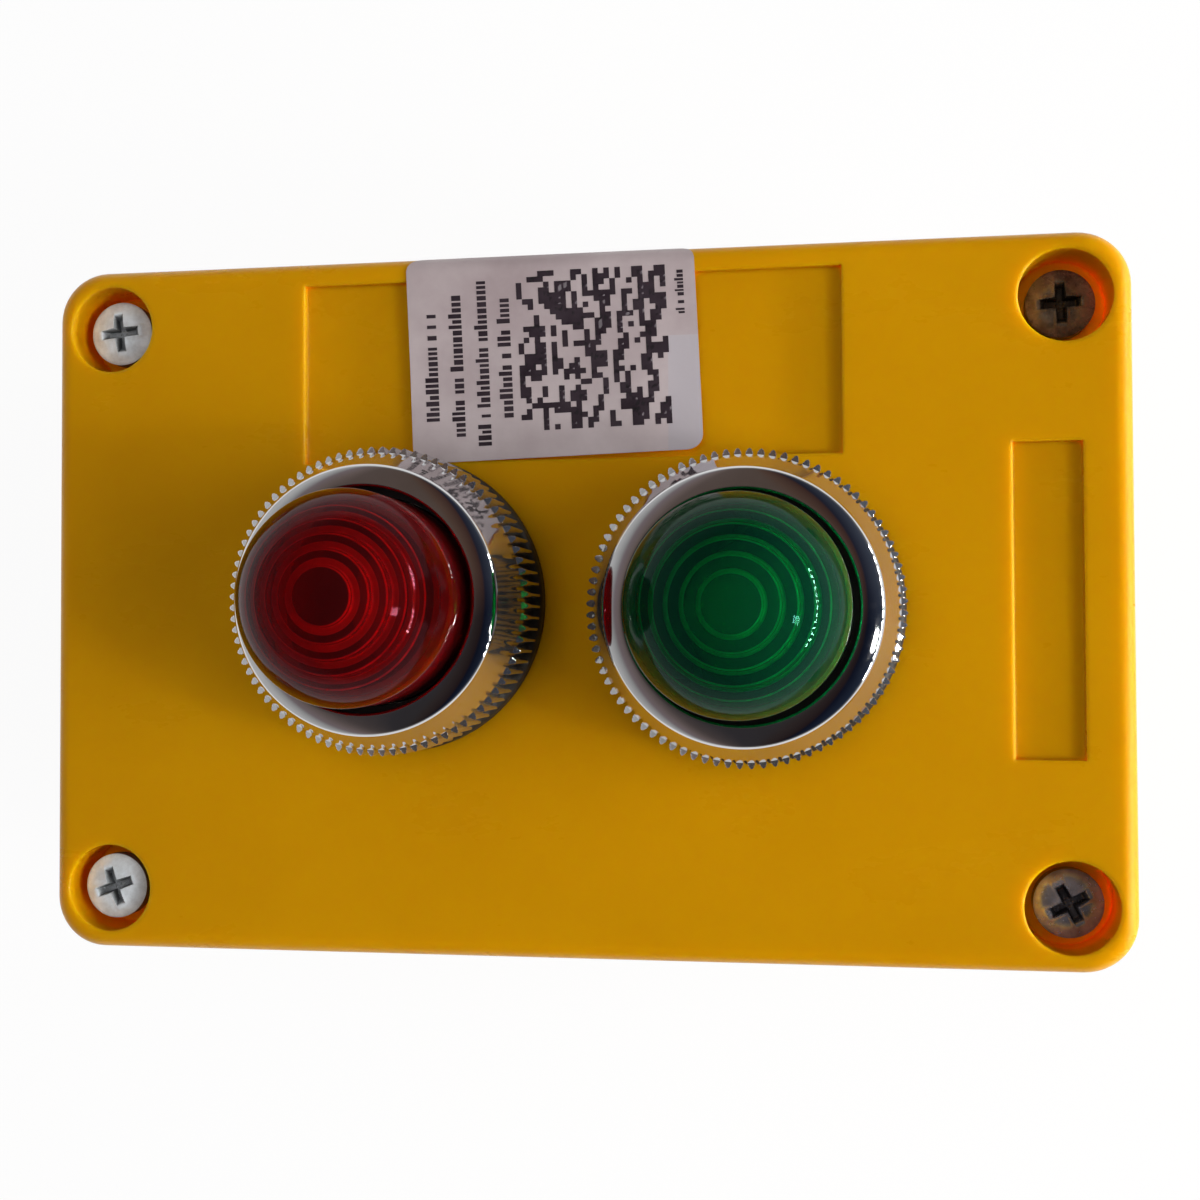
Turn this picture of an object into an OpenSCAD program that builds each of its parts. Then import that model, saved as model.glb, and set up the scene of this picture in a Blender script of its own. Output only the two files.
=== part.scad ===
// Two-button control station: a yellow moulded box with a red and a green lit pushbutton.
// Origin: middle of the box's back. +X runs along the box, +Z out of the back towards the buttons.

/* [Box] */
// Length of the box
box_l = 105; // [100:1:160]
// Width of the box
box_w = 68; // [64:1:110]
// Depth of the closed box, from its back to the cover's face
box_h = 53; // [50:1:90]
// Height of the cover's part of the box
cover_h = 12; // [11:0.5:16]
// Radius of the box's upright corners
corner_r = 5; // [4:0.25:6]
// Rounding of the edge round the cover's face
edge_r = 1.6; // [0.5:0.1:2.5]
// Rounding of the edge round the back
back_edge_r = 1; // [0.5:0.1:2]
// Thickness of the side walls
wall = 2.5; // [2.2:0.1:3]
// Thickness of the cover's face
plate_t = 3; // [2.5:0.1:4]
// Thickness of the back
floor_t = 2.5; // [2:0.1:4]
// Width of the groove that shows between cover and base
seam_w = 0.6; // [0.3:0.1:1.2]
// Depth of the groove that shows between cover and base
seam_d = 0.3; // [0.1:0.05:0.4]
// Thickness of the stiffening ribs inside the base
rib_t = 1.4; // [1:0.1:2]
// How far the stiffening ribs stand in from the wall
rib_d = 2.2; // [1:0.1:3]

/* [Cover seal] */
// Width of the seal's groove in the cover's rim
groove_w = 1.2; // [1:0.05:1.3]
// Height of the tongue on the base's rim
tongue_h = 1; // [0.6:0.1:1.5]
// Thickness of the seal when closed
seal_t = 1.2; // [0.8:0.1:1.6]

/* [Cover screws] */
// Distance of the screws from the box's sides
screw_inset = 6; // [5.8:0.1:7]
// Radius of the screw wells
well_r = 4.3; // [3.8:0.1:4.6]
// Depth of the screw wells
well_depth = 5.9; // [5:0.1:7]
// Radius of the posts under the screw wells
post_r = 5.3; // [5:0.1:5.6]
// Radius of the screw heads
head_r = 3.2; // [2.8:0.1:3.5]
// Height of the screw heads
head_h = 2.4; // [1.8:0.1:2.8]
// Radius of the screw shanks
shank_r = 1.75; // [1.4:0.05:2]
// Length of shank held by the base's posts
bite_l = 12; // [8:1:18]

/* [Cover recesses] */
// Depth of the two marking recesses in the cover's face
recess_d = 0.8; // [0.3:0.1:1.2]
// Length of the long recess above the buttons
title_l = 52.4; // [40:0.2:60]
// Width of the long recess
title_w = 17.7; // [10:0.1:20]
// Distance of the long recess from the cover's upper side
title_inset = 2.4; // [2:0.1:4]
// Length of the recess at the right-hand end
side_l = 29.2; // [20:0.2:32]
// Width of the recess at the right-hand end
side_w = 6.3; // [4:0.1:8]
// Distance of that recess from the cover's right-hand side
side_inset = 4.6; // [4:0.1:6]

/* [Wall fixing] */
// Spacing of the wall screw holes along the box
fix_x = 80; // [70:1:82]
// Spacing of the wall screw holes across the box
fix_y = 40; // [30:1:44]
// Radius of the wall screw holes
fix_r = 3; // [1.6:0.05:3.1]
// Width of the collar round each wall screw hole
collar_w = 2; // [1:0.1:3]
// Height of the collar above the floor
collar_h = 0.5; // [0.5:0.1:3]

/* [Cable entries] */
// Radius of the closed cable entry in each end
entry_r = 10.2; // [8:0.1:12]
// Radius of the smaller closed entry inside it
entry_small_r = 8.2; // [6:0.1:8.5]
// Thickness of the web that closes an entry
entry_web = 1; // [0.6:0.1:1.4]
// Depth and width of the break-out grooves
entry_groove = 0.5; // [0.3:0.05:0.6]

/* [Pushbuttons] */
// Distance between the two buttons
pitch = 34; // [34:0.5:44]
// How far the middle of the two buttons stands to the right of the box's middle
row_shift = 0.5; // [0:0.1:1]
// How far the red button stands above the box's middle line
red_rise = 0.2; // [-1:0.1:1]
// How far the green button stands above the box's middle line
green_rise = -0.7; // [-1:0.1:1]
// Thickness of the threaded neck that passes through the cover
neck_t = 1.25; // [1.2:0.05:1.5]
// How far the neck stands above the cover
neck_h = 8.4; // [7.5:0.1:8.8]
// Travel of a button
travel = 4.5; // [2:0.1:5]
// Thickness of the seal on the cover
front_seal_t = 2; // [1.5:0.1:2.4]
// Radius of the seal on the cover
front_seal_r = 14.4; // [14:0.1:14.6]
// Thickness of the seal behind the cover
rear_seal_t = 1; // [0.6:0.1:1.5]
// Side of the square body behind the cover
body_w = 29; // [28:0.1:32]
// Depth of the square body
body_h = 13; // [12.5:0.1:15]
// Thickness of the square body's floor
body_floor = 3; // [2:0.1:3.2]
// Width of the key that stops the body turning
key_w = 3; // [2:0.1:4]
// How far the key stands out of the neck
key_d = 1.4; // [0.8:0.1:1.8]

/* [Knurled ring] */
// Radius over the knurl's teeth
knurl_r = 14.35; // [14:0.05:15.2]
// Depth of the teeth
tooth_d = 0.85; // [0.3:0.05:1]
// How far the grooves between the teeth cut into the foot of the ring's cone
groove_bite = 0.25; // [0.05:0.05:0.4]
// Number of teeth
teeth = 84; // [60:2:100]
// Height of the knurled band
knurl_h = 6; // [5:0.1:6.5]
// Slant of the teeth at the band's two edges
tooth_bevel = 0.5; // [0.2:0.05:0.8]
// Height of the ring
ring_h = 10.6; // [9.8:0.1:11.4]
// Radius at the upper edge of the ring's cone
crown_r = 12.4; // [12.2:0.05:12.8]
// Width of the bend from the cone into the crown
crown_edge_w = 0.4; // [0.3:0.05:0.8]
// Rounding of the crown's inner edge
crown_inner_r = 0.25; // [0.1:0.05:0.4]

/* [Lens] */
// Radius of the lens's upright skirt
lens_r = 9.55; // [9.3:0.05:9.7]
// Height of the skirt's upper edge above the cover
skirt_z = 18.1; // [17:0.1:19]
// Radius of the dome
dome_r = 9.9; // [9.8:0.1:12]
// Thickness of the skirt
lens_t = 1.5; // [1.2:0.1:1.8]
// Thickness of the dome
dome_t = 1.8; // [1.4:0.1:2.4]
// Height of the skirt's lower edge above the cover
lens_foot_z = 6; // [5:0.1:6.5]

/* [Lens holder] */
// How far the holder stands out past the lens's skirt
holder_step = 0.05; // [0.05:0.05:0.1]
// Thickness of the holder's wall
holder_t = 1.6; // [1.2:0.1:2]
// Length of the holder below the lens
holder_l = 12; // [11:0.1:13]
// How far the holder stands up inside the lens
spigot_h = 3; // [2:0.1:5]
// Thickness of the holder's spring seat
seat_t = 1.2; // [1:0.1:2]

/* [Lamp] */
// Radius of the lamp's cap
lamp_r = 4.5; // [4:0.1:4.8]
// Length of the lamp's cap
cap_l = 10; // [8:0.1:11]
// Length of the lamp's bulb above the cap
bulb_l = 16; // [10:0.1:17]
// Thickness of the lamp socket's wall
socket_t = 1; // [0.8:0.1:1.1]

/* [Contact blocks] */
// Width of one block
block_w = 9.3; // [9:0.1:9.6]
// Length of the blocks across the box
block_l = 30; // [28:0.5:36]
// Depth of the blocks
block_h = 22; // [21:0.5:24]
// Thickness of a block's walls
block_t = 1.4; // [1:0.1:1.6]
// Length of the end pockets that hold the terminals
pocket_l = 4.6; // [4:0.1:5]
// Thickness of the plunger and of the holder's legs
leg_t = 1.8; // [1.4:0.1:2.2]
// Width of the plunger and of the holder's legs
leg_w = 5; // [4:0.1:5.4]
// Thickness of the contact bridge
bridge_t = 0.6; // [0.4:0.1:0.8]
// Width of the contact bridge
bridge_w = 3.6; // [3:0.1:4]
// Length of the contact bridge
bridge_l = 16; // [14:0.5:16.5]
// Thickness of the terminal strips
strip_t = 1; // [0.8:0.1:1.2]
// Width of the terminal strips
strip_w = 4; // [3.4:0.1:4.6]
// Width of the lamp's terminal strips
lamp_strip_w = 2.4; // [2:0.1:2.6]
// Thickness of the plate that clamps the blocks
clamp_t = 2; // [1.5:0.1:3]
// Width of that plate
clamp_w = 19; // [18:0.5:20]

/* [Springs] */
// Radius of the return spring's wire
spring_wire = 0.3; // [0.25:0.05:0.35]
// Gap between the return spring and the lamp socket inside it
spring_gap = 0.55; // [0.3:0.05:0.6]
// Turns of the return spring
spring_turns = 4.5; // [3:0.5:4.5]
// Radius of the contact spring's wire
coil_wire = 0.22; // [0.15:0.01:0.25]
// Mean radius of the contact springs
coil_r = 1.4; // [1.2:0.05:1.6]
// Turns of the contact springs
coil_turns = 5; // [3:0.5:6]

/* [Hidden] */

$fn = 96;

// Clearances
thread_gap = 0.05;
slide_gap = 0.05;
seal_gap = 0.05;
tongue_gap = 0.1;
neck_gap = 0.25;
slot_gap = 0.2;
block_gap = 0.15;
ring_gap = 0.65;
carriage_gap = 0.3;
rest_gap = 0.05;
// How far a cut reaches past a face, or a piece into the one it is joined to
cut = 1;

// Levels of the box
base_h = box_h - cover_h;
plate_z = box_h - plate_t;
well_z = box_h - well_depth;
groove_inset = (wall - groove_w) / 2;
entry_z = base_h / 2;

// Places of the cover screws, with each one's turn and how far it stands off its seat
screw_x = box_l / 2 - screw_inset;
screw_y = box_w / 2 - screw_inset;
screw_places = [[-screw_x, screw_y], [-screw_x, -screw_y], [screw_x, screw_y], [screw_x, -screw_y]];
screw_turns = [6, 20, 3, 28];
screw_lifts = [1.9, 2.6, 0, 1.2];
screw_shank_l = well_z - base_h + bite_l;

// Radii of a button, from the lens outwards
holder_r = lens_r + holder_step;
bore_r = holder_r + slide_gap;
neck_r = bore_r + neck_t;
ring_bore_r = lens_r + ring_gap;
lens_inner_r = lens_r - lens_t;
dome_inner_r = dome_r - dome_t;
socket_r = lamp_r + slide_gap + socket_t;
spring_r = socket_r + spring_gap + spring_wire;
cone_foot_r = knurl_r - tooth_d + groove_bite;

// Slopes of the ring's crown at its inner edge, at its outer edge and where the cone starts
crown_slopes = [14, 34, 68.5];
bend_steps = 5;

// Levels of a button, measured from the cover's face
body_top = -plate_t - rear_seal_t;
body_bottom = body_top - body_h;
body_floor_z = body_bottom + body_floor;
holder_foot_z = lens_foot_z - holder_l;
dome_z = skirt_z - sqrt(dome_r * dome_r - lens_r * lens_r);
lamp_lift = 0.4;
lamp_foot_z = body_bottom + lamp_lift;
socket_top_z = lamp_foot_z + cap_l - cut;

// Radii of the rings stepped into the dome
lens_steps = [for (share = [0.31, 0.48, 0.64, 0.79, 0.92]) share * lens_inner_r];

// The blocks behind a button, measured from its axis and the cover's face
block_x = block_w + block_gap;
block_bottom = body_bottom - block_h;
room_w = block_w - 2 * block_t;
room_l = block_l - 2 * pocket_l - 2 * block_t;
room_top = body_bottom - block_t;
room_floor = block_bottom + block_t;
terminal_y = (block_l - pocket_l) / 2;
strip_end_y = block_l / 2 - 2 * slot_gap;

// The plunger hangs below the holder's leg and carries the bridge in a window
leg_x = sqrt(holder_r * holder_r - leg_w * leg_w / 4) - leg_t / 2 - slot_gap;
leg_reach = 1;
plunger_l = 10;
bridge_drop = 5;
plunger_z = body_bottom - leg_reach;
carriage_z = room_top - 2 * slot_gap;
carriage_w = room_w - 2 * carriage_gap;
bridge_z = plunger_z - bridge_drop;

// Contact tips and the strips that carry them
tip_h = 0.6;
tip_r = 1.2;
tip_y = bridge_l / 2 - tip_r - 2 * slot_gap;
nc_strip_z = bridge_z + bridge_t + rest_gap + tip_h;
no_strip_z = bridge_z - travel - rest_gap - tip_h - strip_t;
lamp_strip_z = (nc_strip_z + no_strip_z) / 2;
lamp_leg_y = 2;

// Small screws
terminal_screw_r = 1.5;
terminal_head_r = 2.1;
terminal_head_h = 1.8;
terminal_tail = 2;
clamp_screw_r = 1.2;
clamp_head_r = 2.3;
clamp_head_h = 1.8;
clamp_screw_x = 2.9;
clamp_screw_y = 7;

yellow = [0.93, 0.66, 0.02];
red = [0.62, 0.02, 0.03];
green = [0, 0.45, 0.17];
chrome = [0.82, 0.83, 0.85];
steel = [0.72, 0.73, 0.74];
brass = [0.8, 0.62, 0.25];
black = [0.06, 0.06, 0.065];
ivory = [0.86, 0.85, 0.8];

// Box outline with rounded corners, drawn smaller all round by inset
module plan(inset = 0) {
    l = box_l - 2 * inset;
    w = box_w - 2 * inset;
    rounded(l, w, corner_r - inset);
}

module rounded(l, w, r) {
    square([l - 2 * r, w], center = true);
    square([l, w - 2 * r], center = true);
    for (x = [-1, 1], y = [-1, 1])
        translate([x * (l / 2 - r), y * (w / 2 - r)]) circle(r);
}

// Section of a slab whose two upper edges are rounded
module slab_section(w, h, edge) {
    translate([-w / 2, 0]) square([w, h - edge]);
    translate([-w / 2 + edge, 0]) square([w - 2 * edge, h]);
    for (x = [-1, 1]) translate([x * (w / 2 - edge), h - edge]) circle(edge);
}

// Quarter of a round post whose upper edge is rounded
module quarter_post(r, h, edge) {
    rotate_extrude(angle = 90) {
        square([r, h - edge]);
        square([r - edge, h]);
        intersection() {
            translate([r - edge, h - edge]) circle(edge);
            square([r, h]);
        }
    }
}

// Box outline of height h whose upper edge is rounded all round
module soft_box(h, edge) {
    inner_l = box_l - 2 * corner_r;
    inner_w = box_w - 2 * corner_r;
    rotate([90, 0, 0]) translate([0, 0, -inner_w / 2])
        linear_extrude(inner_w) slab_section(box_l, h, edge);
    rotate([90, 0, 90]) translate([0, 0, -inner_l / 2])
        linear_extrude(inner_l) slab_section(box_w, h, edge);
    for (turn = [0, 180]) rotate([0, 0, turn]) {
        translate([inner_l / 2, inner_w / 2, 0]) quarter_post(corner_r, h, edge);
        translate([-inner_l / 2, inner_w / 2, 0]) rotate([0, 0, 90]) quarter_post(corner_r, h, edge);
    }
}

module at_screws() {
    for (p = screw_places) translate([p[0], p[1], 0]) children();
}

module at_fixings() {
    for (x = [-1, 1], y = [-1, 1]) translate([x * fix_x / 2, y * fix_y / 2, 0]) children();
}

// Moves to a button's axis, level with the cover's face: -1 is the red one, 1 the green one
module at_button(side) {
    translate([row_shift + side * pitch / 2, side < 0 ? red_rise : green_rise, box_h]) children();
}

module at_clamp_screws() {
    for (side = [-1, 1]) translate([side * clamp_screw_x, side * clamp_screw_y, 0]) children();
}

// Low domed screw head with a cross recess, its seat at z = 0
module pan_head(r, h) {
    crown = 0.3 * h;
    crown_r = (r * r + crown * crown) / (2 * crown);
    slot_w = 0.3 * r;
    slot_l = 1.15 * r;
    difference() {
        rotate_extrude() intersection() {
            square([r, h]);
            translate([0, h - crown_r]) circle(crown_r, $fn = 200);
        }
        for (turn = [0, 90]) rotate([0, 0, turn])
            translate([-slot_l / 2, -slot_w / 2, 0.4 * h]) cube([slot_l, slot_w, h]);
    }
}

// Coil of round wire from its foot at z = 0 to the height h, as one swept tube
function coil_point(i, k, per_turn, sides, r, wire, lift) =
    let (a = 360 * i / per_turn, b = 360 * k / sides, reach = r + wire * cos(b))
    [reach * cos(a), reach * sin(a), wire + i * lift + wire * sin(b)];

module coil(r, wire, turns, h, per_turn, sides) {
    steps = turns * per_turn;
    lift = (h - 2 * wire) / steps;
    points = [for (i = [0:steps], k = [0:sides - 1])
        coil_point(i, k, per_turn, sides, r, wire, lift)];
    skin = [for (i = [0:steps - 1], k = [0:sides - 1], half = [0, 1])
        let (n = (k + 1) % sides, a = i * sides, b = a + sides)
        half == 0 ? [a + k, a + n, b + n] : [a + k, b + n, b + k]];
    foot = [for (k = [sides - 1:-1:0]) k];
    top = [for (k = [0:sides - 1]) steps * sides + k];
    polyhedron(points, concat(skin, [foot, top]));
}

// Base housing: deep tub with four screw posts, closed cable entries and holes for wall screws
module base_housing() {
    color(yellow) difference() {
        union() {
            translate([0, 0, base_h - seam_w]) linear_extrude(seam_w) plan(seam_d);
            translate([0, 0, base_h - seam_w]) mirror([0, 0, 1])
                soft_box(base_h - seam_w, back_edge_r);
            rim_tongue();
        }
        difference() {
            translate([0, 0, floor_t]) linear_extrude(base_h) plan(wall);
            at_screws() cylinder(r = post_r, h = base_h);
            at_fixings() cylinder(r = fix_r + collar_w, h = floor_t + collar_h);
            stiff_ribs();
        }
        at_screws() translate([0, 0, base_h - bite_l - cut])
            cylinder(r = shank_r + thread_gap, h = bite_l + 2 * cut);
        at_fixings() translate([0, 0, -cut]) cylinder(r = fix_r, h = floor_t + collar_h + 2 * cut);
        for (turn = [0, 180]) rotate([0, 0, turn]) cable_entry();
    }
}

// Low rib on the base's rim that presses the seal
module rim_tongue() {
    inset = groove_inset + tongue_gap;
    translate([0, 0, base_h - seam_w]) linear_extrude(seam_w + tongue_h) difference() {
        plan(inset);
        plan(inset + groove_w - 2 * tongue_gap);
    }
}

// Upright ribs on the two long walls, level with the buttons
module stiff_ribs() {
    rib_h = base_h - 2 * tongue_h;
    for (x = [-1, 0, 1], y = [-1, 1])
        translate([row_shift + x * pitch / 2, y * (box_w / 2 - wall - rib_d / 2), rib_h / 2])
            cube([rib_t, rib_d, rib_h], center = true);
}

// Closed cable entry in the right-hand end, with a groove for a smaller one inside it
module cable_entry() {
    translate([box_l / 2, 0, entry_z]) rotate([0, 90, 0]) {
        translate([0, 0, entry_web - wall]) cylinder(r = entry_r, h = wall);
        translate([0, 0, entry_web - wall - entry_groove]) difference() {
            cylinder(r = entry_small_r + entry_groove, h = wall);
            cylinder(r = entry_small_r, h = wall);
        }
    }
}

// Cover with its marking recesses, screw wells and button holes
module cover() {
    color(yellow) difference() {
        translate([0, 0, base_h]) soft_box(cover_h, edge_r);
        difference() {
            translate([0, 0, base_h - cut]) linear_extrude(cover_h - plate_t + cut) plan(wall);
            at_screws() translate([0, 0, base_h - 2 * cut]) cylinder(r = post_r, h = cover_h + cut);
        }
        translate([0, 0, base_h - cut]) linear_extrude(cut + tongue_h + seal_t) difference() {
            plan(groove_inset);
            plan(groove_inset + groove_w);
        }
        at_screws() {
            translate([0, 0, well_z]) cylinder(r = well_r, h = well_depth + cut);
            translate([0, 0, base_h - cut]) cylinder(r = shank_r + neck_gap, h = cover_h);
        }
        translate([-title_l / 2, box_w / 2 - title_inset - title_w, box_h - recess_d])
            cube([title_l, title_w, recess_d + cut]);
        translate([box_l / 2 - side_inset - side_w, -side_l / 2, box_h - recess_d])
            cube([side_w, side_l, recess_d + cut]);
        for (side = [-1, 1]) at_button(side) translate([0, 0, -plate_t - cut]) {
            cylinder(r = neck_r + neck_gap, h = plate_t + 2 * cut);
            key(key_w + 2 * neck_gap, key_d + neck_gap, plate_t + 2 * cut);
        }
    }
}

// Upright key on the neck's upper side
module key(w, d, h) {
    translate([-w / 2, neck_r - cut, 0]) cube([w, d + cut, h]);
}

module cover_seal() {
    inset = groove_inset + seal_gap;
    color(black) translate([0, 0, base_h + tongue_h]) linear_extrude(seal_t) difference() {
        plan(inset);
        plan(inset + groove_w - 2 * seal_gap);
    }
}

// Four screws that hold the cover down
module cover_screws() {
    color(steel) for (i = [0:3])
        translate([screw_places[i][0], screw_places[i][1], well_z + screw_lifts[i]])
            rotate([0, 0, screw_turns[i]]) {
                pan_head(head_r, head_h);
                translate([0, 0, -screw_shank_l]) cylinder(r = shank_r, h = screw_shank_l + head_h / 4);
            }
}

// Hollow domed lens, with rings stepped into the dome's inside
module lens(tint) {
    color(tint) difference() {
        union() {
            translate([0, 0, lens_foot_z]) cylinder(r = lens_r, h = dome_z - lens_foot_z);
            translate([0, 0, dome_z]) rotate_extrude() intersection() {
                circle(dome_r, $fn = 200);
                square([lens_r, dome_r]);
            }
        }
        translate([0, 0, lens_foot_z - cut]) cylinder(r = lens_inner_r, h = dome_z - lens_foot_z + cut);
        for (r = lens_steps) translate([0, 0, dome_z - cut])
            cylinder(r = r, h = cut + sqrt(dome_inner_r * dome_inner_r - r * r));
    }
}

// Sliding sleeve that carries the lens, stands on the spring and presses the contacts
module lens_holder() {
    spigot_r = lens_inner_r - slide_gap;
    color(ivory) difference() {
        union() {
            translate([0, 0, holder_foot_z]) cylinder(r = holder_r, h = holder_l);
            translate([0, 0, holder_foot_z]) cylinder(r = spigot_r, h = holder_l + spigot_h);
            for (side = [-1, 1])
                translate([side * leg_x - leg_t / 2, -leg_w / 2, plunger_z])
                    cube([leg_t, leg_w, holder_foot_z - plunger_z + seat_t / 2]);
        }
        translate([0, 0, holder_foot_z + seat_t])
            cylinder(r = spigot_r - holder_t / 2, h = holder_l + spigot_h);
        translate([0, 0, holder_foot_z - cut]) cylinder(r = socket_r + slot_gap, h = holder_l);
    }
}

// Outline of the knurl: pointed teeth all round
function knurl_outline() = [for (i = [0:2 * teeth - 1])
    let (a = 180 * i / teeth, r = i % 2 == 0 ? knurl_r : knurl_r - tooth_d) [r * cos(a), r * sin(a)]];

// Points of an arc that starts at [r, z] and turns from one slope to another, without its first
function bend(r, z, bend_r, from, to) = [for (i = [1:bend_steps])
    let (a = from + (to - from) * i / bend_steps)
    [r + bend_r * (sin(a) - sin(from)), z + bend_r * (cos(a) - cos(from))]];

// Section of the ring's turned form: a band slanted off at both edges, then a steep cone that bends
// over into a crown, highest inside
module ring_section() {
    reach_r = knurl_r + slot_gap;
    inner = crown_slopes[0];
    outer = crown_slopes[1];
    cone = crown_slopes[2];
    face_in = ring_bore_r + crown_inner_r * (1 + sin(inner));
    face_out = crown_r - crown_edge_w;
    face_bend = (face_out - face_in) / (sin(outer) - sin(inner));
    edge_bend = crown_edge_w / (sin(cone) - sin(outer));
    face_in_z = ring_h - crown_inner_r * (1 - cos(inner));
    face_out_z = face_in_z - face_bend * (cos(inner) - cos(outer));
    cone_z = face_out_z - edge_bend * (cos(outer) - cos(cone));
    polygon(concat(
        [[0, 0], [reach_r - tooth_bevel, 0], [reach_r, tooth_bevel],
            [reach_r, knurl_h - tooth_bevel], [cone_foot_r, knurl_h], [crown_r, cone_z]],
        bend(crown_r, cone_z, edge_bend, cone, outer),
        bend(face_out, face_out_z, face_bend, outer, inner),
        bend(face_in, face_in_z, crown_inner_r, inner, -90),
        [[0, ring_h - crown_inner_r]]));
}

// Chromed ring that screws down over the neck, with a knurled rim and a sloping crown. The grooves
// between the teeth run out in the cone's foot.
module ring_nut() {
    color(chrome) translate([0, 0, front_seal_t]) difference() {
        intersection() {
            linear_extrude(ring_h) polygon(knurl_outline());
            rotate_extrude() ring_section();
        }
        translate([0, 0, -cut]) cylinder(r = ring_bore_r, h = ring_h + 2 * cut);
        translate([0, 0, -cut])
            cylinder(r = neck_r + thread_gap, h = cut + neck_h + thread_gap - front_seal_t);
    }
}

// Rubber seal between the ring and the cover, its outer edge rounded
module front_seal() {
    inner_r = neck_r + neck_gap;
    half = front_seal_t / 2;
    color(black) rotate_extrude() {
        translate([inner_r, 0]) square([front_seal_r - half - inner_r, front_seal_t]);
        translate([inner_r, 0]) square([front_seal_r - inner_r, half]);
        intersection() {
            translate([front_seal_r - half, half]) circle(half);
            translate([inner_r, 0]) square([front_seal_r, front_seal_t]);
        }
    }
}

module rear_seal() {
    color(black) translate([0, 0, body_top]) difference() {
        cylinder(r = body_w / 2 - cut, h = rear_seal_t);
        translate([0, 0, -cut]) cylinder(r = neck_r + neck_gap, h = rear_seal_t + 2 * cut);
        translate([0, 0, -cut]) key(key_w + 2 * neck_gap, key_d + neck_gap, rear_seal_t + 2 * cut);
    }
}

// Body behind the cover: threaded neck, square body and the floor that the spring stands on
module button_body() {
    color(black) difference() {
        union() {
            translate([0, 0, body_bottom]) linear_extrude(body_h) rounded(body_w, body_w, holder_t);
            translate([0, 0, body_bottom]) cylinder(r = neck_r, h = neck_h - body_bottom);
            translate([0, 0, body_top - cut]) key(key_w, key_d, plate_t + rear_seal_t);
        }
        translate([0, 0, body_floor_z]) cylinder(r = bore_r, h = neck_h - body_floor_z + cut);
        translate([0, 0, body_bottom - cut])
            cylinder(r = socket_r + slide_gap, h = body_floor + 2 * cut);
        for (side = [-1, 1]) leg_slot(side, body_bottom - cut, body_floor + 2 * cut);
        at_clamp_screws() translate([0, 0, body_bottom - cut])
            cylinder(r = clamp_screw_r + thread_gap, h = body_floor + 2 * cut);
    }
}

// Slot that a leg of the holder passes through, from the level z up
module leg_slot(side, z, h) {
    translate([side * leg_x - leg_t / 2 - slot_gap, -leg_w / 2 - slot_gap, z])
        cube([leg_t + 2 * slot_gap, leg_w + 2 * slot_gap, h]);
}

module return_spring() {
    color(steel) translate([0, 0, body_floor_z])
        coil(spring_r, spring_wire, spring_turns, holder_foot_z - body_floor_z, 20, 6);
}

// Lamp with a plain cap below and a round-ended bulb above
module lamp() {
    bulb_r = lamp_r - slot_gap;
    color(ivory) translate([0, 0, lamp_foot_z]) {
        cylinder(r = lamp_r, h = cap_l);
        cylinder(r = bulb_r, h = cap_l + bulb_l - bulb_r);
        translate([0, 0, cap_l + bulb_l - bulb_r]) sphere(bulb_r);
    }
}

// Outer form of one block behind the button
module block_form() {
    translate([-block_w / 2, -block_l / 2, block_bottom]) cube([block_w, block_l, block_h]);
}

// Pocket in a block's end for a terminal whose strip lies at strip_z, open behind and at the end
module end_pocket(strip_z) {
    top_z = strip_z + strip_t + terminal_tail + slot_gap;
    translate([-room_w / 2, block_l / 2 - pocket_l, block_bottom - cut])
        cube([room_w, pocket_l + cut, top_z - block_bottom + cut]);
}

// Middle block: socket tube for the lamp, with a terminal at each end
module lamp_block() {
    slot_w = lamp_strip_w + 2 * block_gap;
    slot_t = strip_t + 2 * block_gap;
    color(ivory) difference() {
        union() {
            block_form();
            translate([0, 0, body_bottom]) cylinder(r = socket_r, h = socket_top_z - body_bottom);
        }
        translate([0, 0, lamp_foot_z]) cylinder(r = lamp_r + slide_gap, h = cap_l);
        for (turn = [0, 180]) rotate([0, 0, turn]) {
            end_pocket(lamp_strip_z);
            translate([-slot_w / 2, lamp_leg_y - block_gap, lamp_strip_z - block_gap])
                cube([slot_w, block_l / 2 - lamp_leg_y, slot_t]);
            translate([-slot_w / 2, lamp_leg_y - block_gap, lamp_strip_z - block_gap])
                cube([slot_w, slot_t, lamp_foot_z - lamp_strip_z + block_gap + slide_gap]);
        }
        at_clamp_screws() translate([0, 0, block_bottom - cut])
            cylinder(r = clamp_screw_r + thread_gap, h = block_h + 2 * cut);
    }
}

// Two bent strips that touch the lamp's foot and end in screw terminals
module lamp_terminals() {
    pad_y = block_l / 2 - pocket_l + block_gap;
    color(brass) for (turn = [0, 180]) rotate([0, 0, turn]) difference() {
        union() {
            translate([-lamp_strip_w / 2, lamp_leg_y, lamp_strip_z])
                cube([lamp_strip_w, strip_t, lamp_foot_z - lamp_strip_z]);
            translate([-lamp_strip_w / 2, lamp_leg_y, lamp_strip_z])
                cube([lamp_strip_w, strip_end_y - lamp_leg_y, strip_t]);
            translate([-strip_w / 2, pad_y, lamp_strip_z])
                cube([strip_w, strip_end_y - pad_y, strip_t]);
        }
        terminal_hole(lamp_strip_z);
    }
}

module terminal_hole(strip_z) {
    translate([0, terminal_y, strip_z - cut])
        cylinder(r = terminal_screw_r + thread_gap, h = strip_t + 2 * cut);
}

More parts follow.
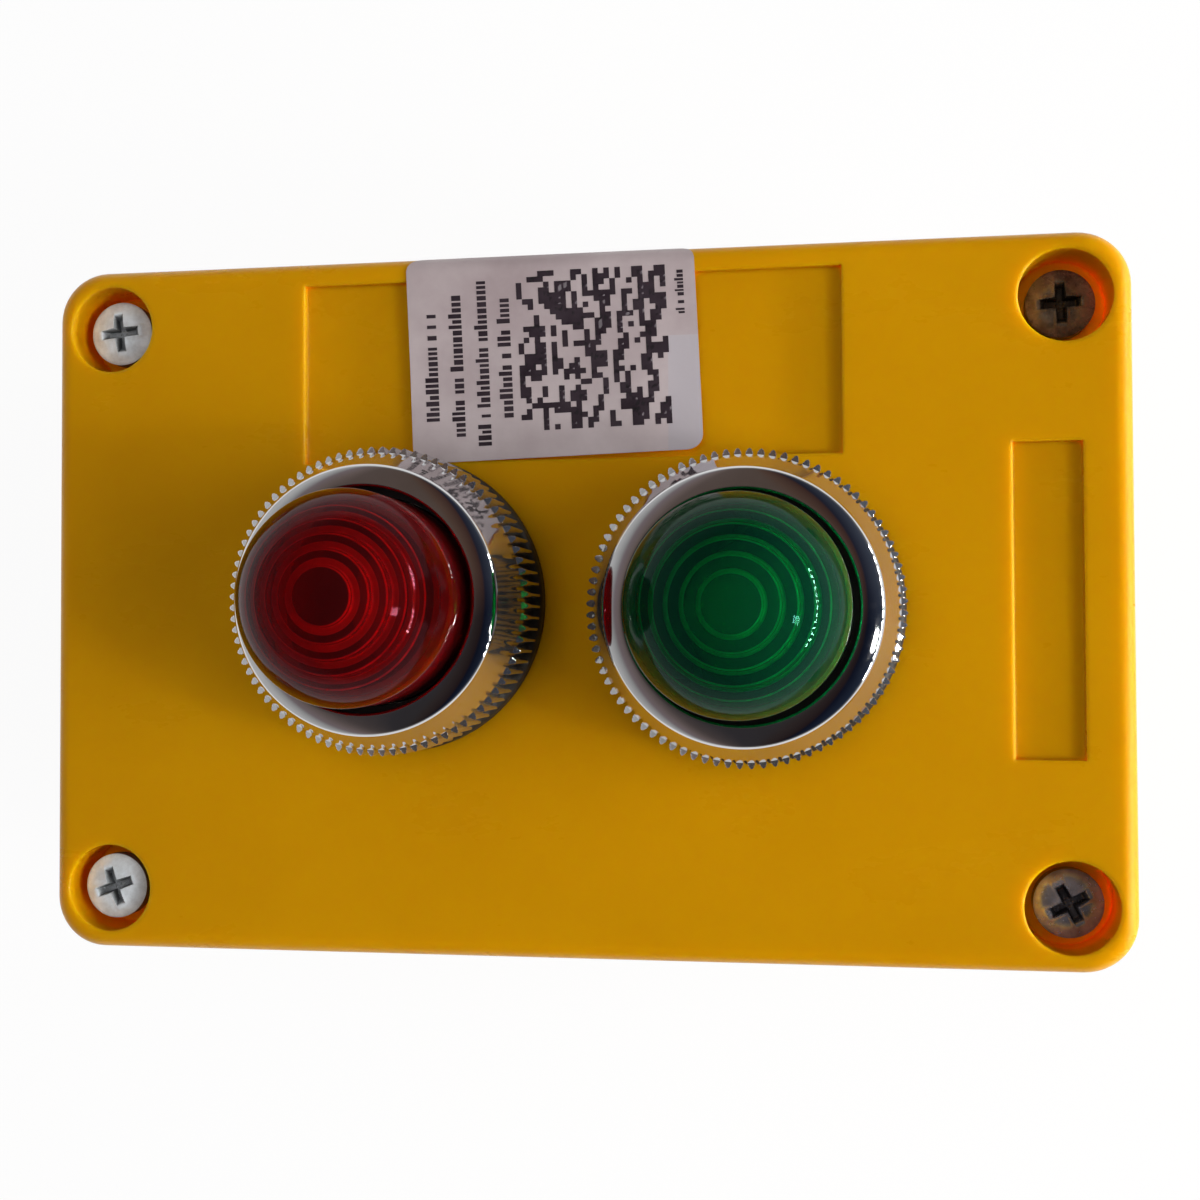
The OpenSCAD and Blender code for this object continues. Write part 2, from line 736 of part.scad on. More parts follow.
// Hollow contact block whose two terminal strips lie at strip_z
module contact_block(side, strip_z) {
    slot_w = strip_w + 2 * block_gap;
    color(black) difference() {
        translate([side * block_x, 0, 0]) difference() {
            block_form();
            translate([-room_w / 2, -room_l / 2, room_floor])
                cube([room_w, room_l, room_top - room_floor]);
            for (turn = [0, 180]) rotate([0, 0, turn]) {
                end_pocket(strip_z);
                translate([-slot_w / 2, tip_y, strip_z - block_gap])
                    cube([slot_w, block_l / 2 - tip_y, strip_t + 2 * block_gap]);
            }
        }
        leg_slot(side, room_top - cut, block_t + 2 * cut);
    }
}

// Plunger under one leg of the holder, with a window for the bridge
module plunger(side) {
    foot_z = plunger_z - plunger_l;
    window_w = bridge_w + block_gap;
    color(ivory) difference() {
        union() {
            translate([side * leg_x - leg_t / 2, -leg_w / 2, foot_z])
                cube([leg_t, leg_w, plunger_l]);
            translate([side * block_x - carriage_w / 2, -leg_w / 2, foot_z])
                cube([carriage_w, leg_w, carriage_z - foot_z]);
        }
        translate([side * block_x - window_w / 2, -leg_w, bridge_z])
            cube([window_w, 2 * leg_w, bridge_t + slot_gap]);
    }
}

// Bridge that joins the two contact tips
module bridge(side) {
    color(brass) translate([side * block_x - bridge_w / 2, -bridge_l / 2, bridge_z])
        cube([bridge_w, bridge_l, bridge_t]);
}

// Two terminal strips at the level strip_z, their tips on the side that the bridge meets
module terminals(side, strip_z, tips_up) {
    inner_y = tip_y - tip_r - slot_gap;
    tip_z = tips_up ? strip_z : strip_z - tip_h;
    color(brass) translate([side * block_x, 0, 0]) for (turn = [0, 180]) rotate([0, 0, turn])
        difference() {
            union() {
                translate([-strip_w / 2, inner_y, strip_z])
                    cube([strip_w, strip_end_y - inner_y, strip_t]);
                translate([0, tip_y, tip_z]) cylinder(r = tip_r, h = strip_t + tip_h);
            }
            terminal_hole(strip_z);
        }
}

// The two springs that push the plungers back
module contact_springs() {
    color(steel) for (side = [-1, 1]) translate([side * block_x, 0, room_floor])
        coil(coil_r, coil_wire, coil_turns, plunger_z - plunger_l - room_floor, 12, 5);
}

// Screw whose head lies below the level z and whose shank stands up from it
module hanging_screw(r, head_r, head_h, shank_l) {
    rotate([180, 0, 0]) pan_head(head_r, head_h);
    translate([0, 0, -head_h / 4]) cylinder(r = r, h = shank_l + head_h / 4);
}

module terminal_screws() {
    levels = [nc_strip_z, lamp_strip_z, no_strip_z];
    color(steel) for (i = [0:2], y = [-1, 1])
        translate([(i - 1) * block_x, y * terminal_y, levels[i]])
            hanging_screw(terminal_screw_r, terminal_head_r, terminal_head_h, strip_t + terminal_tail);
}

// Plate that clamps the three blocks against the body
module clamp_plate() {
    plate_l = 2 * block_x + block_w - 2 * cut;
    color(steel) translate([0, 0, block_bottom - clamp_t]) difference() {
        linear_extrude(clamp_t) rounded(plate_l, clamp_w, holder_t);
        at_clamp_screws() translate([0, 0, -cut])
            cylinder(r = clamp_screw_r + thread_gap, h = clamp_t + 2 * cut);
    }
}

module clamp_screws() {
    foot_z = block_bottom - clamp_t;
    color(steel) at_clamp_screws() translate([0, 0, foot_z])
        hanging_screw(clamp_screw_r, clamp_head_r, clamp_head_h, body_floor_z - slot_gap - foot_z);
}

base_housing();
cover();
cover_seal();
cover_screws();
at_button(-1) lens(red);  // red_lens
at_button(-1) lens_holder();  // red_lens_holder
at_button(-1) ring_nut();  // red_ring_nut
at_button(-1) front_seal();  // red_front_seal
at_button(-1) rear_seal();  // red_rear_seal
at_button(-1) button_body();  // red_button_body
at_button(-1) return_spring();  // red_return_spring
at_button(-1) lamp();  // red_lamp
at_button(-1) lamp_block();  // red_lamp_block
at_button(-1) lamp_terminals();  // red_lamp_terminals
at_button(-1) contact_block(-1, nc_strip_z);  // red_nc_block
at_button(-1) contact_block(1, no_strip_z);  // red_no_block
at_button(-1) plunger(-1);  // red_nc_plunger
at_button(-1) plunger(1);  // red_no_plunger
at_button(-1) bridge(-1);  // red_nc_bridge
at_button(-1) bridge(1);  // red_no_bridge
at_button(-1) terminals(-1, nc_strip_z, false);  // red_nc_terminals
at_button(-1) terminals(1, no_strip_z, true);  // red_no_terminals
at_button(-1) contact_springs();  // red_contact_springs
at_button(-1) terminal_screws();  // red_terminal_screws
at_button(-1) clamp_plate();  // red_clamp_plate
at_button(-1) clamp_screws();  // red_clamp_screws
at_button(1) lens(green);  // green_lens
at_button(1) lens_holder();  // green_lens_holder
at_button(1) ring_nut();  // green_ring_nut
at_button(1) front_seal();  // green_front_seal
at_button(1) rear_seal();  // green_rear_seal
at_button(1) button_body();  // green_button_body
at_button(1) return_spring();  // green_return_spring
at_button(1) lamp();  // green_lamp
at_button(1) lamp_block();  // green_lamp_block
at_button(1) lamp_terminals();  // green_lamp_terminals
at_button(1) contact_block(-1, nc_strip_z);  // green_nc_block
at_button(1) contact_block(1, no_strip_z);  // green_no_block
at_button(1) plunger(-1);  // green_nc_plunger
at_button(1) plunger(1);  // green_no_plunger
at_button(1) bridge(-1);  // green_nc_bridge
at_button(1) bridge(1);  // green_no_bridge
at_button(1) terminals(-1, nc_strip_z, false);  // green_nc_terminals
at_button(1) terminals(1, no_strip_z, true);  // green_no_terminals
at_button(1) contact_springs();  // green_contact_springs
at_button(1) terminal_screws();  // green_terminal_screws
at_button(1) clamp_plate();  // green_clamp_plate
at_button(1) clamp_screws();  // green_clamp_screws
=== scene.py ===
"""Looks of the pushbutton control station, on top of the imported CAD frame.

Sizes and places are written in millimetres, apart from those of a material, which are in metres.
"""
import math
import random

import bmesh
import bpy
from mathutils import Matrix, Vector

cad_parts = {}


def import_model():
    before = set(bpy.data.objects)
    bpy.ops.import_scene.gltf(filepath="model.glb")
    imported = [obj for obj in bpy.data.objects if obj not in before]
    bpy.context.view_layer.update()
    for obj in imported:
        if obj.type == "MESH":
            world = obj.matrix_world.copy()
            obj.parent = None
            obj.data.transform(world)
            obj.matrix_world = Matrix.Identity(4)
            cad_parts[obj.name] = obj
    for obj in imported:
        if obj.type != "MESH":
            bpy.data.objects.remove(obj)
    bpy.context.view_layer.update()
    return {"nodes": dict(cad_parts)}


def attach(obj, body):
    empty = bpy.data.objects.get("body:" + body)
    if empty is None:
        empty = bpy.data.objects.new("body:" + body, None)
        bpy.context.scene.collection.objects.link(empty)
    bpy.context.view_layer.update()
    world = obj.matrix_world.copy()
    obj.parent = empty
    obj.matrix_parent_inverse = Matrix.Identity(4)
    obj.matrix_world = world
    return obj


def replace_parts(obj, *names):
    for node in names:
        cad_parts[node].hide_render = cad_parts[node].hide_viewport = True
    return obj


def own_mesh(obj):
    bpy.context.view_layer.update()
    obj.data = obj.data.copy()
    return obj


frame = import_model()
MM = 0.001

# Sizes taken over from the part's source. The heights of a lens are measured from the cover's face, those of
# a ring from its foot, and the rest from the box's back.
BOX_W, BOX_H, EDGE_R = 68, 53, 1.6
BUTTONS = {"red": (-16.5, 0.2), "green": (17.5, -0.7)}
SEAL_T, SEAL_R, SEAL_INNER_R = 2, 14.4, 11.15
RING_BORE_R, RING_THREAD_R, RING_THREAD_L, RING_H = 10.2, 10.95, 6.45, 10.6
TEETH, KNURL_R, KNURL_H, TOOTH_D, CONE_FOOT_R = 84, 14.35, 6, 0.85, 13.75
CROWN_R, CROWN_EDGE_W, CROWN_INNER_R, CROWN_SLOPES = 12.4, 0.4, 0.25, (14, 34, 68.5)
LENS_R, LENS_INNER_R, LENS_FOOT, SKIRT_Z, DOME_R, DOME_INNER_R = 9.55, 8.05, 6, 18.1, 9.9, 8.1
DOME_Z = SKIRT_Z - math.sqrt(DOME_R ** 2 - LENS_R ** 2)
LENS_STEPS = [share * LENS_INNER_R for share in (0.31, 0.48, 0.64, 0.79, 0.92)]
SCREW_X, SCREW_Y, WELL_Z, HEAD_R, HEAD_H, SHANK_R, SHANK_L = 46.5, 28, 47.1, 3.2, 2.4, 1.75, 18.1
# A button's springs: places beside its axis, foot, coil and wire radius, turns, and length at rest
SPRINGS = {
    "return_spring": ((0,), 39, 6.4, 0.3, 4.5, 8),
    "contact_springs": ((-9.45, 9.45), 15.4, 1.4, 0.22, 5, 9.6),
}

# Width of the slant at the foot of a ring's knurled band, and the fall of its top for each mm outwards
KNURL_FOOT_W, KNURL_TOP_FALL = 0.3, 0.625
# Half the width of a tooth as the scene rounds it, as a share of the distance between two teeth, and the
# steps of the mesh over that distance
TOOTH_HALF_W, STEPS_PER_TOOTH = 0.36, 10
# Slant at each edge of a lens's inner steps, and the share of a step's width that looks bright
STEP_SLANT = 0.14
BANDS = {"red": 0.45, "green": 0.12}

# Camera fitted to the photo: its place, its turns about Z, X and Y in radians, and its lens on a 36 mm sensor
CAMERA_AT = (27.43, -3.74, 203.57)
CAMERA_TURNS = (-0.0081, 0.0258, 0.1597)
CAMERA_LENS = 47.99


# Meshes

def mesh_object(name, verts, faces, smooth=True):
    """A mesh object from points in millimetres."""
    mesh = bpy.data.meshes.new(name)
    mesh.from_pydata([tuple(c * MM for c in v) for v in verts], [], faces)
    mesh.update()
    if smooth:
        mesh.polygons.foreach_set("use_smooth", [True] * len(mesh.polygons))
    obj = bpy.data.objects.new(name, mesh)
    bpy.context.scene.collection.objects.link(obj)
    return obj


def finish_mesh(obj, degrees):
    """Joins equal points, turns the faces outwards and marks edges that bend by more than this as sharp."""
    bm = bmesh.new()
    bm.from_mesh(obj.data)
    bmesh.ops.remove_doubles(bm, verts=bm.verts, dist=1e-7)
    bmesh.ops.dissolve_degenerate(bm, edges=bm.edges, dist=1e-8)
    bmesh.ops.recalc_face_normals(bm, faces=bm.faces)
    limit = math.radians(degrees)
    for e in bm.edges:
        if len(e.link_faces) == 2 and e.calc_face_angle(0) > limit:
            e.smooth = False
    bm.to_mesh(obj.data)
    bm.free()


def steps(start, end, count):
    return [start + (end - start) * i / count for i in range(count + 1)]


def bend(r, z, bend_r, start, end, count):
    """Points (r, z) of an arc whose slope turns from start to end in degrees, without the first."""
    a0 = math.radians(start)
    out = []
    for a in steps(a0, math.radians(end), count)[1:]:
        out.append((r + bend_r * (math.sin(a) - math.sin(a0)), z + bend_r * (math.cos(a) - math.cos(a0))))
    return out


def lathe(name, centre, profile, count, radius=None, marked=()):
    """Turned solid from a closed profile of (r, z). radius(angle, r) may change r round the axis, and the
    strips that start at the marked points get the second material."""
    cx, cy, cz = centre
    n = len(profile)
    verts, faces, seconds = [], [], []
    for k in range(count):
        a = 2 * math.pi * k / count
        for r, z in profile:
            rr = radius(a, r) if radius else r
            verts.append((cx + rr * math.cos(a), cy + rr * math.sin(a), cz + z))
    for k in range(count):
        k2 = (k + 1) % count
        for i in range(n):
            j = (i + 1) % n
            if profile[i][0] == 0 and profile[j][0] == 0:
                continue
            faces.append((k * n + i, k2 * n + i, k2 * n + j, k * n + j))
            seconds.append(1 if i in marked else 0)
    obj = mesh_object(name, verts, faces)
    if marked:
        obj.data.materials.append(None)
        obj.data.materials.append(None)
        obj.data.polygons.foreach_set("material_index", seconds)
    return obj


# Materials

def grey(v):
    return (v, v, v)


class Tree:
    """Short calls that add nodes to a node tree. A value is a number, a colour or another node's output."""

    def __init__(self, tree):
        self.tree = tree

    def put(self, value, into):
        if isinstance(value, bpy.types.NodeSocket):
            self.tree.links.new(value, into)
        elif into.type == "RGBA":
            into.default_value = (*value, 1)
        else:
            into.default_value = value

    def put_all(self, node, values):
        for key, value in values.items():
            self.put(value, node.inputs[key.replace("_", " ")])

    def add(self, kind, **values):
        node = self.tree.nodes.new(kind)
        self.put_all(node, values)
        return node

    def maths(self, operation, *values):
        node = self.add("ShaderNodeMath")
        node.operation = operation
        for value, into in zip(values, node.inputs):
            self.put(value, into)
        return node.outputs[0]

    def map_range(self, value, low, high, to_low=0, to_high=1):
        node = self.add("ShaderNodeMapRange", Value=value, From_Min=low, From_Max=high,
                        To_Min=to_low, To_Max=to_high)
        return node.outputs["Result"]

    def ramp(self, fac, stops):
        node = self.add("ShaderNodeValToRGB", Fac=fac)
        elements = node.color_ramp.elements
        while len(elements) < len(stops):
            elements.new(0.5)
        for element, (at, colour) in zip(elements, stops):
            element.position = at
            element.color = (*colour, 1)
        return node.outputs["Color"]

    def mix(self, fac, first, second, blend_type="MIX"):
        node = self.add("ShaderNodeMixRGB", Fac=fac, Color1=first, Color2=second)
        node.blend_type = blend_type
        return node.outputs["Color"]

    def seen_share(self, share, names=("Is Camera Ray",)):
        """This share where one of Light Path's outputs of these names is set, and 0 elsewhere."""
        path = self.add("ShaderNodeLightPath")
        seen = path.outputs[names[0]]
        for name in names[1:]:
            seen = self.maths("MAXIMUM", seen, path.outputs[name])
        return self.maths("MULTIPLY", seen, share)

    def mix_into(self, output, fac, first, second):
        """Two shaders mixed into an output node's surface."""
        both = self.add("ShaderNodeMixShader", Fac=fac)
        self.put(first, both.inputs[1])
        self.put(second, both.inputs[2])
        self.put(both.outputs["Shader"], self.tree.nodes[output].inputs["Surface"])


class Material(Tree):
    """A material with one Principled shader."""

    def __init__(self, name, colour, **sockets):
        self.mat = bpy.data.materials.new(name)
        self.mat.use_nodes = True
        super().__init__(self.mat.node_tree)
        self.shader = self.tree.nodes["Principled BSDF"]
        self.put_all(self.shader, {"Base Color": colour, **sockets})
        self.place = None

    def object_place(self):
        if self.place is None:
            self.place = self.add("ShaderNodeTexCoord").outputs["Object"]
        return self.place

    def noise(self, scale, detail=3.0, roughness=0.5, stretch=None):
        source = self.object_place()
        if stretch:
            source = self.add("ShaderNodeMapping", Vector=source, Scale=stretch).outputs["Vector"]
        node = self.add("ShaderNodeTexNoise", Vector=source, Scale=scale, Detail=detail, Roughness=roughness)
        return node.outputs["Fac"]

    def base(self, colour):
        self.put(colour, self.shader.inputs["Base Color"])

    def hollow_painted_light(self, reach, start, end, hollow_painted_colour, clear):
        """Base colour that turns from the clear colour to another one in hollows: painted shade or painted
        glow there.
        """
        hollow = self.add("ShaderNodeAmbientOcclusion", Distance=reach)
        hollow.samples = 8
        self.base(self.mix(self.ramp(hollow.outputs["AO"], [(start, grey(0)), (end, grey(1))]), hollow_painted_colour, clear))

    def roughness(self, fac, low, high):
        self.put(self.map_range(fac, 0.3, 0.7, low, high), self.shader.inputs["Roughness"])

    def bump(self, height, distance, strength, under=None):
        """Bump of this height, laid over the normal of another node, on the shader."""
        node = self.add("ShaderNodeBump", Height=height, Distance=distance, Strength=strength)
        if under is not None:
            self.put(under, node.inputs["Normal"])
        self.put(node.outputs["Normal"], self.shader.inputs["Normal"])
        return node.outputs["Normal"]


def yellow_plastic():
    """Yellow plastic that lets a little light in. Its wells and other hollows turn a brighter orange, a
    painted glow.
    """
    m = Material("yellow_plastic", (0.55, 0.27, 0.001), Roughness=0.3, IOR=1.48, Specular_IOR_Level=0.35,
                 Specular_Tint=(1.0, 0.78, 0.35), Subsurface_Weight=0.7,
                 Subsurface_Radius=(1.0, 0.72, 0.02), Subsurface_Scale=0.0035)
    cloudy = m.ramp(m.noise(28, 4, 0.55), [(0.3, (0.525, 0.250, 0.0006)), (0.7, (0.575, 0.288, 0.001))])
    # Painted glow: hollows turn a brighter, redder orange that stands in for light shining through the plastic
    m.hollow_painted_light(0.006, 0.15, 0.5, (1.0, 0.34, 0.001), cloudy)
    m.roughness(m.noise(60, 5, 0.65, stretch=(1, 2.2, 1)), 0.24, 0.38)
    soft_edge = m.add("ShaderNodeBevel", Radius=0.0006).outputs["Normal"]
    fine = m.bump(m.noise(1900, 2, 0.5), 0.00002, 0.12, under=soft_edge)
    m.bump(m.noise(45, 1, 0.4), 0.00035, 0.1, under=fine)
    return m.mat


def chrome(name, metallic):
    m = Material(name, (0.64, 0.64, 0.65), Metallic=metallic)
    m.base(m.ramp(m.noise(160, 4, 0.6), [(0.25, grey(0.57)), (0.6, (0.66, 0.66, 0.67))]))
    m.roughness(m.noise(900, 3, 0.6), 0.03, 0.1)
    m.bump(m.noise(240, 2, 0.5), 0.00003, 0.2)
    return m.mat


def lens_plastic(name, colour, tint, absorbed):
    """Clear plastic whose colour deepens with its thickness."""
    m = Material(name, colour, Roughness=0.02, IOR=1.18, Specular_Tint=tint, Transmission_Weight=0.97)
    m.bump(m.noise(120, 1, 0.4), 0.00004, 0.05)
    depth = m.add("ShaderNodeVolumeAbsorption", Color=absorbed, Density=2000.0)
    m.put(depth.outputs["Volume"], m.tree.nodes["Material Output"].inputs["Volume"])
    return m.mat


def lens_edge(name, colour):
    """The slightly matt edges of the steps inside a lens, which catch the light."""
    m = Material(name, colour, Roughness=0.5, IOR=1.18, Transmission_Weight=0.25)
    m.base(m.ramp(m.noise(800, 2, 0.5), [(0.3, tuple(0.8 * c for c in colour)), (0.7, colour)]))
    return m.mat


def moulded(name, dark, light, rough=(0.4, 0.6), scale=300, depth=0.00003, metallic=0.0):
    m = Material(name, light, Metallic=metallic)
    m.base(m.ramp(m.noise(scale, 4, 0.6), [(0.3, dark), (0.7, light)]))
    m.roughness(m.noise(scale * 2.3, 3, 0.6), *rough)
    m.bump(m.noise(scale * 4, 3, 0.6), depth, 0.4)
    return m.mat


def screw_metal(name, dark, light, rough, metallic):
    """Worn metal, darkened in its cross recess as painted shade."""
    m = Material(name, light, Metallic=metallic)
    worn = m.ramp(m.noise(700, 5, 0.65), [(0.34, dark), (0.62, light)])
    # Painted shade: the cross recess turns almost black
    m.hollow_painted_light(0.0016, 0.45, 0.85, tuple(0.12 * c for c in dark), worn)
    m.roughness(m.noise(1500, 4, 0.7), *rough)
    m.bump(m.noise(2600, 3, 0.6), 0.00002, 0.3)
    return m.mat


MATS = {
    "yellow_plastic": yellow_plastic(),
    "seal_rubber": moulded("seal_rubber", grey(0.006), grey(0.012), (0.42, 0.62), 500),
    "zinc_screws": screw_metal("zinc_screws", (0.60, 0.65, 0.68), (0.80, 0.87, 0.92), (0.3, 0.5), 0.25),
    "chrome_ring": chrome("chrome_ring", 1.0),
    "red_lens": lens_plastic("red_lens", (0.55, 0.035, 0.045), (1.0, 0.25, 0.42), (0.9, 0.02, 0.05)),
    "green_lens": lens_plastic("green_lens", (0.03, 0.50, 0.28), (0.15, 0.9, 0.75), (0.02, 0.84, 0.70)),
    "ivory_plastic": moulded("ivory_plastic", (0.55, 0.53, 0.47), (0.66, 0.64, 0.58), (0.35, 0.5)),
    "black_plastic": moulded("black_plastic", grey(0.010), grey(0.020), (0.35, 0.5)),
    "lamp_white": moulded("lamp_white", (0.50, 0.49, 0.45), (0.60, 0.59, 0.55), (0.12, 0.2), 120, 0.00001),
    "brass": moulded("brass", (0.60, 0.36, 0.10), (0.72, 0.47, 0.17), (0.2, 0.35), 600, metallic=1.0),
    "spring_steel": moulded("spring_steel", grey(0.38), grey(0.52), (0.22, 0.34), 700, metallic=1.0),
}
WORN_CHROME = chrome("worn_chrome", 0.95)
LENS_EDGES = {"red": lens_edge("red_lens_edge", (1.0, 0.12, 0.15)),
              "green": lens_edge("green_lens_edge", (0.07, 1.0, 0.60))}
# The four screws are of one kind. The two on the right, deepest in their wells, get darker bronze and steel
# copies of the metal as painted shade.
SCREW_LOOKS = [
    MATS["zinc_screws"],
    screw_metal("screw_painted_shade_bronze", (0.10, 0.07, 0.045), (0.27, 0.21, 0.15), (0.2, 0.36), 0.7),
    screw_metal("screw_painted_shade_steel", (0.20, 0.19, 0.21), (0.42, 0.42, 0.47), (0.16, 0.3), 0.8),
]

# The slot of each node, a button's nodes without their side. A lens has its side's own slot.
SLOTS = {
    "base_housing": "yellow_plastic", "cover": "yellow_plastic",
    "cover_seal": "seal_rubber", "front_seal": "seal_rubber", "rear_seal": "seal_rubber",
    "cover_screws": "zinc_screws", "terminal_screws": "zinc_screws", "clamp_screws": "zinc_screws",
    "ring_nut": "chrome_ring",
    "lens_holder": "ivory_plastic", "lamp_block": "ivory_plastic",
    "nc_plunger": "ivory_plastic", "no_plunger": "ivory_plastic",
    "button_body": "black_plastic", "nc_block": "black_plastic", "no_block": "black_plastic",
    "lamp": "lamp_white",
    "lamp_terminals": "brass", "nc_terminals": "brass", "no_terminals": "brass",
    "nc_bridge": "brass", "no_bridge": "brass",
    "return_spring": "spring_steel", "contact_springs": "spring_steel", "clamp_plate": "spring_steel",
}


def slot_of(node):
    side, _, rest = node.partition("_")
    if side in BUTTONS:
        return side + "_lens" if rest == "lens" else SLOTS[rest]
    return SLOTS[node]


def stand_in(obj, node, body, *more_materials):
    """obj takes the CAD node's place and slot, and moves with the body."""
    slot = slot_of(node)
    looks = [MATS[slot], *more_materials]
    for i, mat in enumerate(looks):
        if i < len(obj.data.materials):
            obj.data.materials[i] = mat
        else:
            obj.data.materials.append(mat)
    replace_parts(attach(obj, body), node)


for node_name, node_obj in frame["nodes"].items():
    node_obj.data.materials.clear()
    node_obj.data.materials.append(MATS[slot_of(node_name)])


# Rings, lenses and seals

def ring_profile():
    """The ring's section from its foot outwards, over the knurled band and the crown and down the bore."""
    sin, cos = (lambda d: math.sin(math.radians(d))), (lambda d: math.cos(math.radians(d)))
    inner, outer, cone = CROWN_SLOPES
    face_in, face_out = RING_BORE_R + CROWN_INNER_R * (1 + sin(inner)), CROWN_R - CROWN_EDGE_W
    face_bend = (face_out - face_in) / (sin(outer) - sin(inner))
    edge_bend = CROWN_EDGE_W / (sin(cone) - sin(outer))
    face_in_z = RING_H - CROWN_INNER_R * (1 - cos(inner))
    face_out_z = face_in_z - face_bend * (cos(inner) - cos(outer))
    cone_z = face_out_z - edge_bend * (cos(outer) - cos(cone))
    root = KNURL_R - TOOTH_D
    crest_z = KNURL_H - (KNURL_R - CONE_FOOT_R) * KNURL_TOP_FALL
    cone_slope = (cone_z - KNURL_H) / (CONE_FOOT_R - CROWN_R)
    rows = [(KNURL_R - KNURL_FOOT_W + d, d) for d in steps(0, KNURL_FOOT_W, 3)]
    rows += [(KNURL_R, z) for z in steps(KNURL_FOOT_W, crest_z, 5)[1:]]
    rows += list(zip(steps(KNURL_R, CONE_FOOT_R, 6), steps(crest_z, KNURL_H, 6)))[1:]
    rows += [(CONE_FOOT_R - d, KNURL_H + cone_slope * d) for d in steps(0, CONE_FOOT_R - root, 5)[1:]]
    rows += [(r, KNURL_H + cone_slope * (CONE_FOOT_R - r)) for r in ((root + CROWN_R) / 2, CROWN_R)]
    rows += bend(CROWN_R, cone_z, edge_bend, cone, outer, 8)
    rows += bend(face_out, face_out_z, face_bend, outer, inner, 10)
    rows += bend(face_in, face_in_z, CROWN_INNER_R, inner, -90, 8)
    return rows + [(RING_BORE_R, RING_THREAD_L), (RING_THREAD_R, RING_THREAD_L), (RING_THREAD_R, 0)]


def knurl_radius(a, r):
    """Round teeth with narrow flat roots between them."""
    across = ((a * TEETH / (2 * math.pi)) % 1 - 0.5) / TOOTH_HALF_W
    return min(r, KNURL_R - TOOTH_D * (1 - math.sqrt(max(0, 1 - across * across))))


def ring(side, x, y):
    rows = ring_profile()
    worn = [i for i, (r, z) in enumerate(rows) if r > CROWN_R]
    obj = lathe(side + "_ring", (x, y, BOX_H + SEAL_T), rows, TEETH * STEPS_PER_TOOTH, knurl_radius, worn)
    finish_mesh(obj, 28)
    stand_in(obj, side + "_ring_nut", "station", WORN_CHROME)


def lens(side, x, y, band):
    """Hollow dome, smooth outside, with rings stepped into its inside whose edges are slanted off. The given
    share of each step, and the wall below, catches the light as the edges do."""
    rows = [(LENS_INNER_R, LENS_FOOT), (LENS_R, LENS_FOOT), (LENS_R, LENS_FOOT + 3), (LENS_R, SKIRT_Z)]
    first = math.acos((SKIRT_Z - DOME_Z) / DOME_R)
    for a in steps(first, 0, 40)[1:-1]:
        rows.append((DOME_R * math.sin(a), DOME_Z + DOME_R * math.cos(a)))
    rows.append((0, DOME_Z + DOME_R))
    levels = [DOME_Z + math.sqrt(DOME_INNER_R ** 2 - r ** 2) for r in LENS_STEPS] + [DOME_Z]
    rows += [(0, levels[0]), (LENS_STEPS[0] / 2, levels[0])]
    marked = []
    for r, z, below, beyond in zip(LENS_STEPS, levels, levels[1:], LENS_STEPS[1:] + [LENS_INNER_R]):
        marked.append(len(rows))
        rows += [(r - STEP_SLANT, z), (r, z - STEP_SLANT)]
        marked += [len(rows), len(rows) + 1]
        if below > DOME_Z:
            bright = band * (beyond - r - 2 * STEP_SLANT)
            rows += [(r, below + STEP_SLANT), (r + STEP_SLANT, below), (r + STEP_SLANT + bright, below)]
        else:
            rows += [(r, below), (LENS_INNER_R, DOME_Z)]
    obj = lathe(side + "_dome", (x, y, BOX_H), rows, 192, marked=marked)
    finish_mesh(obj, 25)
    stand_in(obj, side + "_lens", side + "_button", LENS_EDGES[side])


def front_seal(side, x, y):
    half = SEAL_T / 2
    rows = [(SEAL_INNER_R, 0), (SEAL_R, 0), (SEAL_R, half)]
    for a in steps(0, math.pi / 2, 8)[1:]:
        rows.append((SEAL_R - half + half * math.cos(a), half + half * math.sin(a)))
    rows.append((SEAL_INNER_R, SEAL_T))
    obj = lathe(side + "_seal", (x, y, BOX_H), rows, 160)
    finish_mesh(obj, 40)
    stand_in(obj, side + "_front_seal", "station")


# Springs, which the real button presses together as it goes in; here they are drawn at rest

def coil(centre, r, wire, turns, length, first):
    """Points and faces of a coil of round wire that stands on its centre point."""
    per_turn, sides = 28, 8
    cx, cy, cz = centre
    count = int(turns * per_turn)
    verts, faces = [], []
    for i in range(count + 1):
        a = 2 * math.pi * i / per_turn
        z = wire + (length - 2 * wire) * i / count
        for k in range(sides):
            b = 2 * math.pi * k / sides
            reach = r + wire * math.cos(b)
            verts.append((cx + reach * math.cos(a), cy + reach * math.sin(a), cz + z + wire * math.sin(b)))
    for i in range(count):
        for k in range(sides):
            a, b = first + i * sides, first + (i + 1) * sides
            faces.append((a + k, a + (k + 1) % sides, b + (k + 1) % sides, b + k))
    faces.append(tuple(first + k for k in reversed(range(sides))))
    faces.append(tuple(first + count * sides + k for k in range(sides)))
    return verts, faces


def springs(side, x, y):
    for node, (offsets, foot, r, wire, turns, length) in SPRINGS.items():
        verts, faces = [], []
        for offset in offsets:
            v, f = coil((x + offset, y, foot), r, wire, turns, length, len(verts))
            verts += v
            faces += f
        obj = mesh_object(f"{side}_{node}_coil", verts, faces)
        finish_mesh(obj, 60)
        stand_in(obj, f"{side}_{node}", "station")
        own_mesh(obj)


# Cover screws with a cross recess

# Place, turn in degrees, height off the seat and look of each screw
SCREWS = [(-SCREW_X, SCREW_Y, 6, 1.9, 0), (-SCREW_X, -SCREW_Y, 20, 2.6, 0),
          (SCREW_X, SCREW_Y, 3, 0, 1), (SCREW_X, -SCREW_Y, 28, 1.2, 2)]
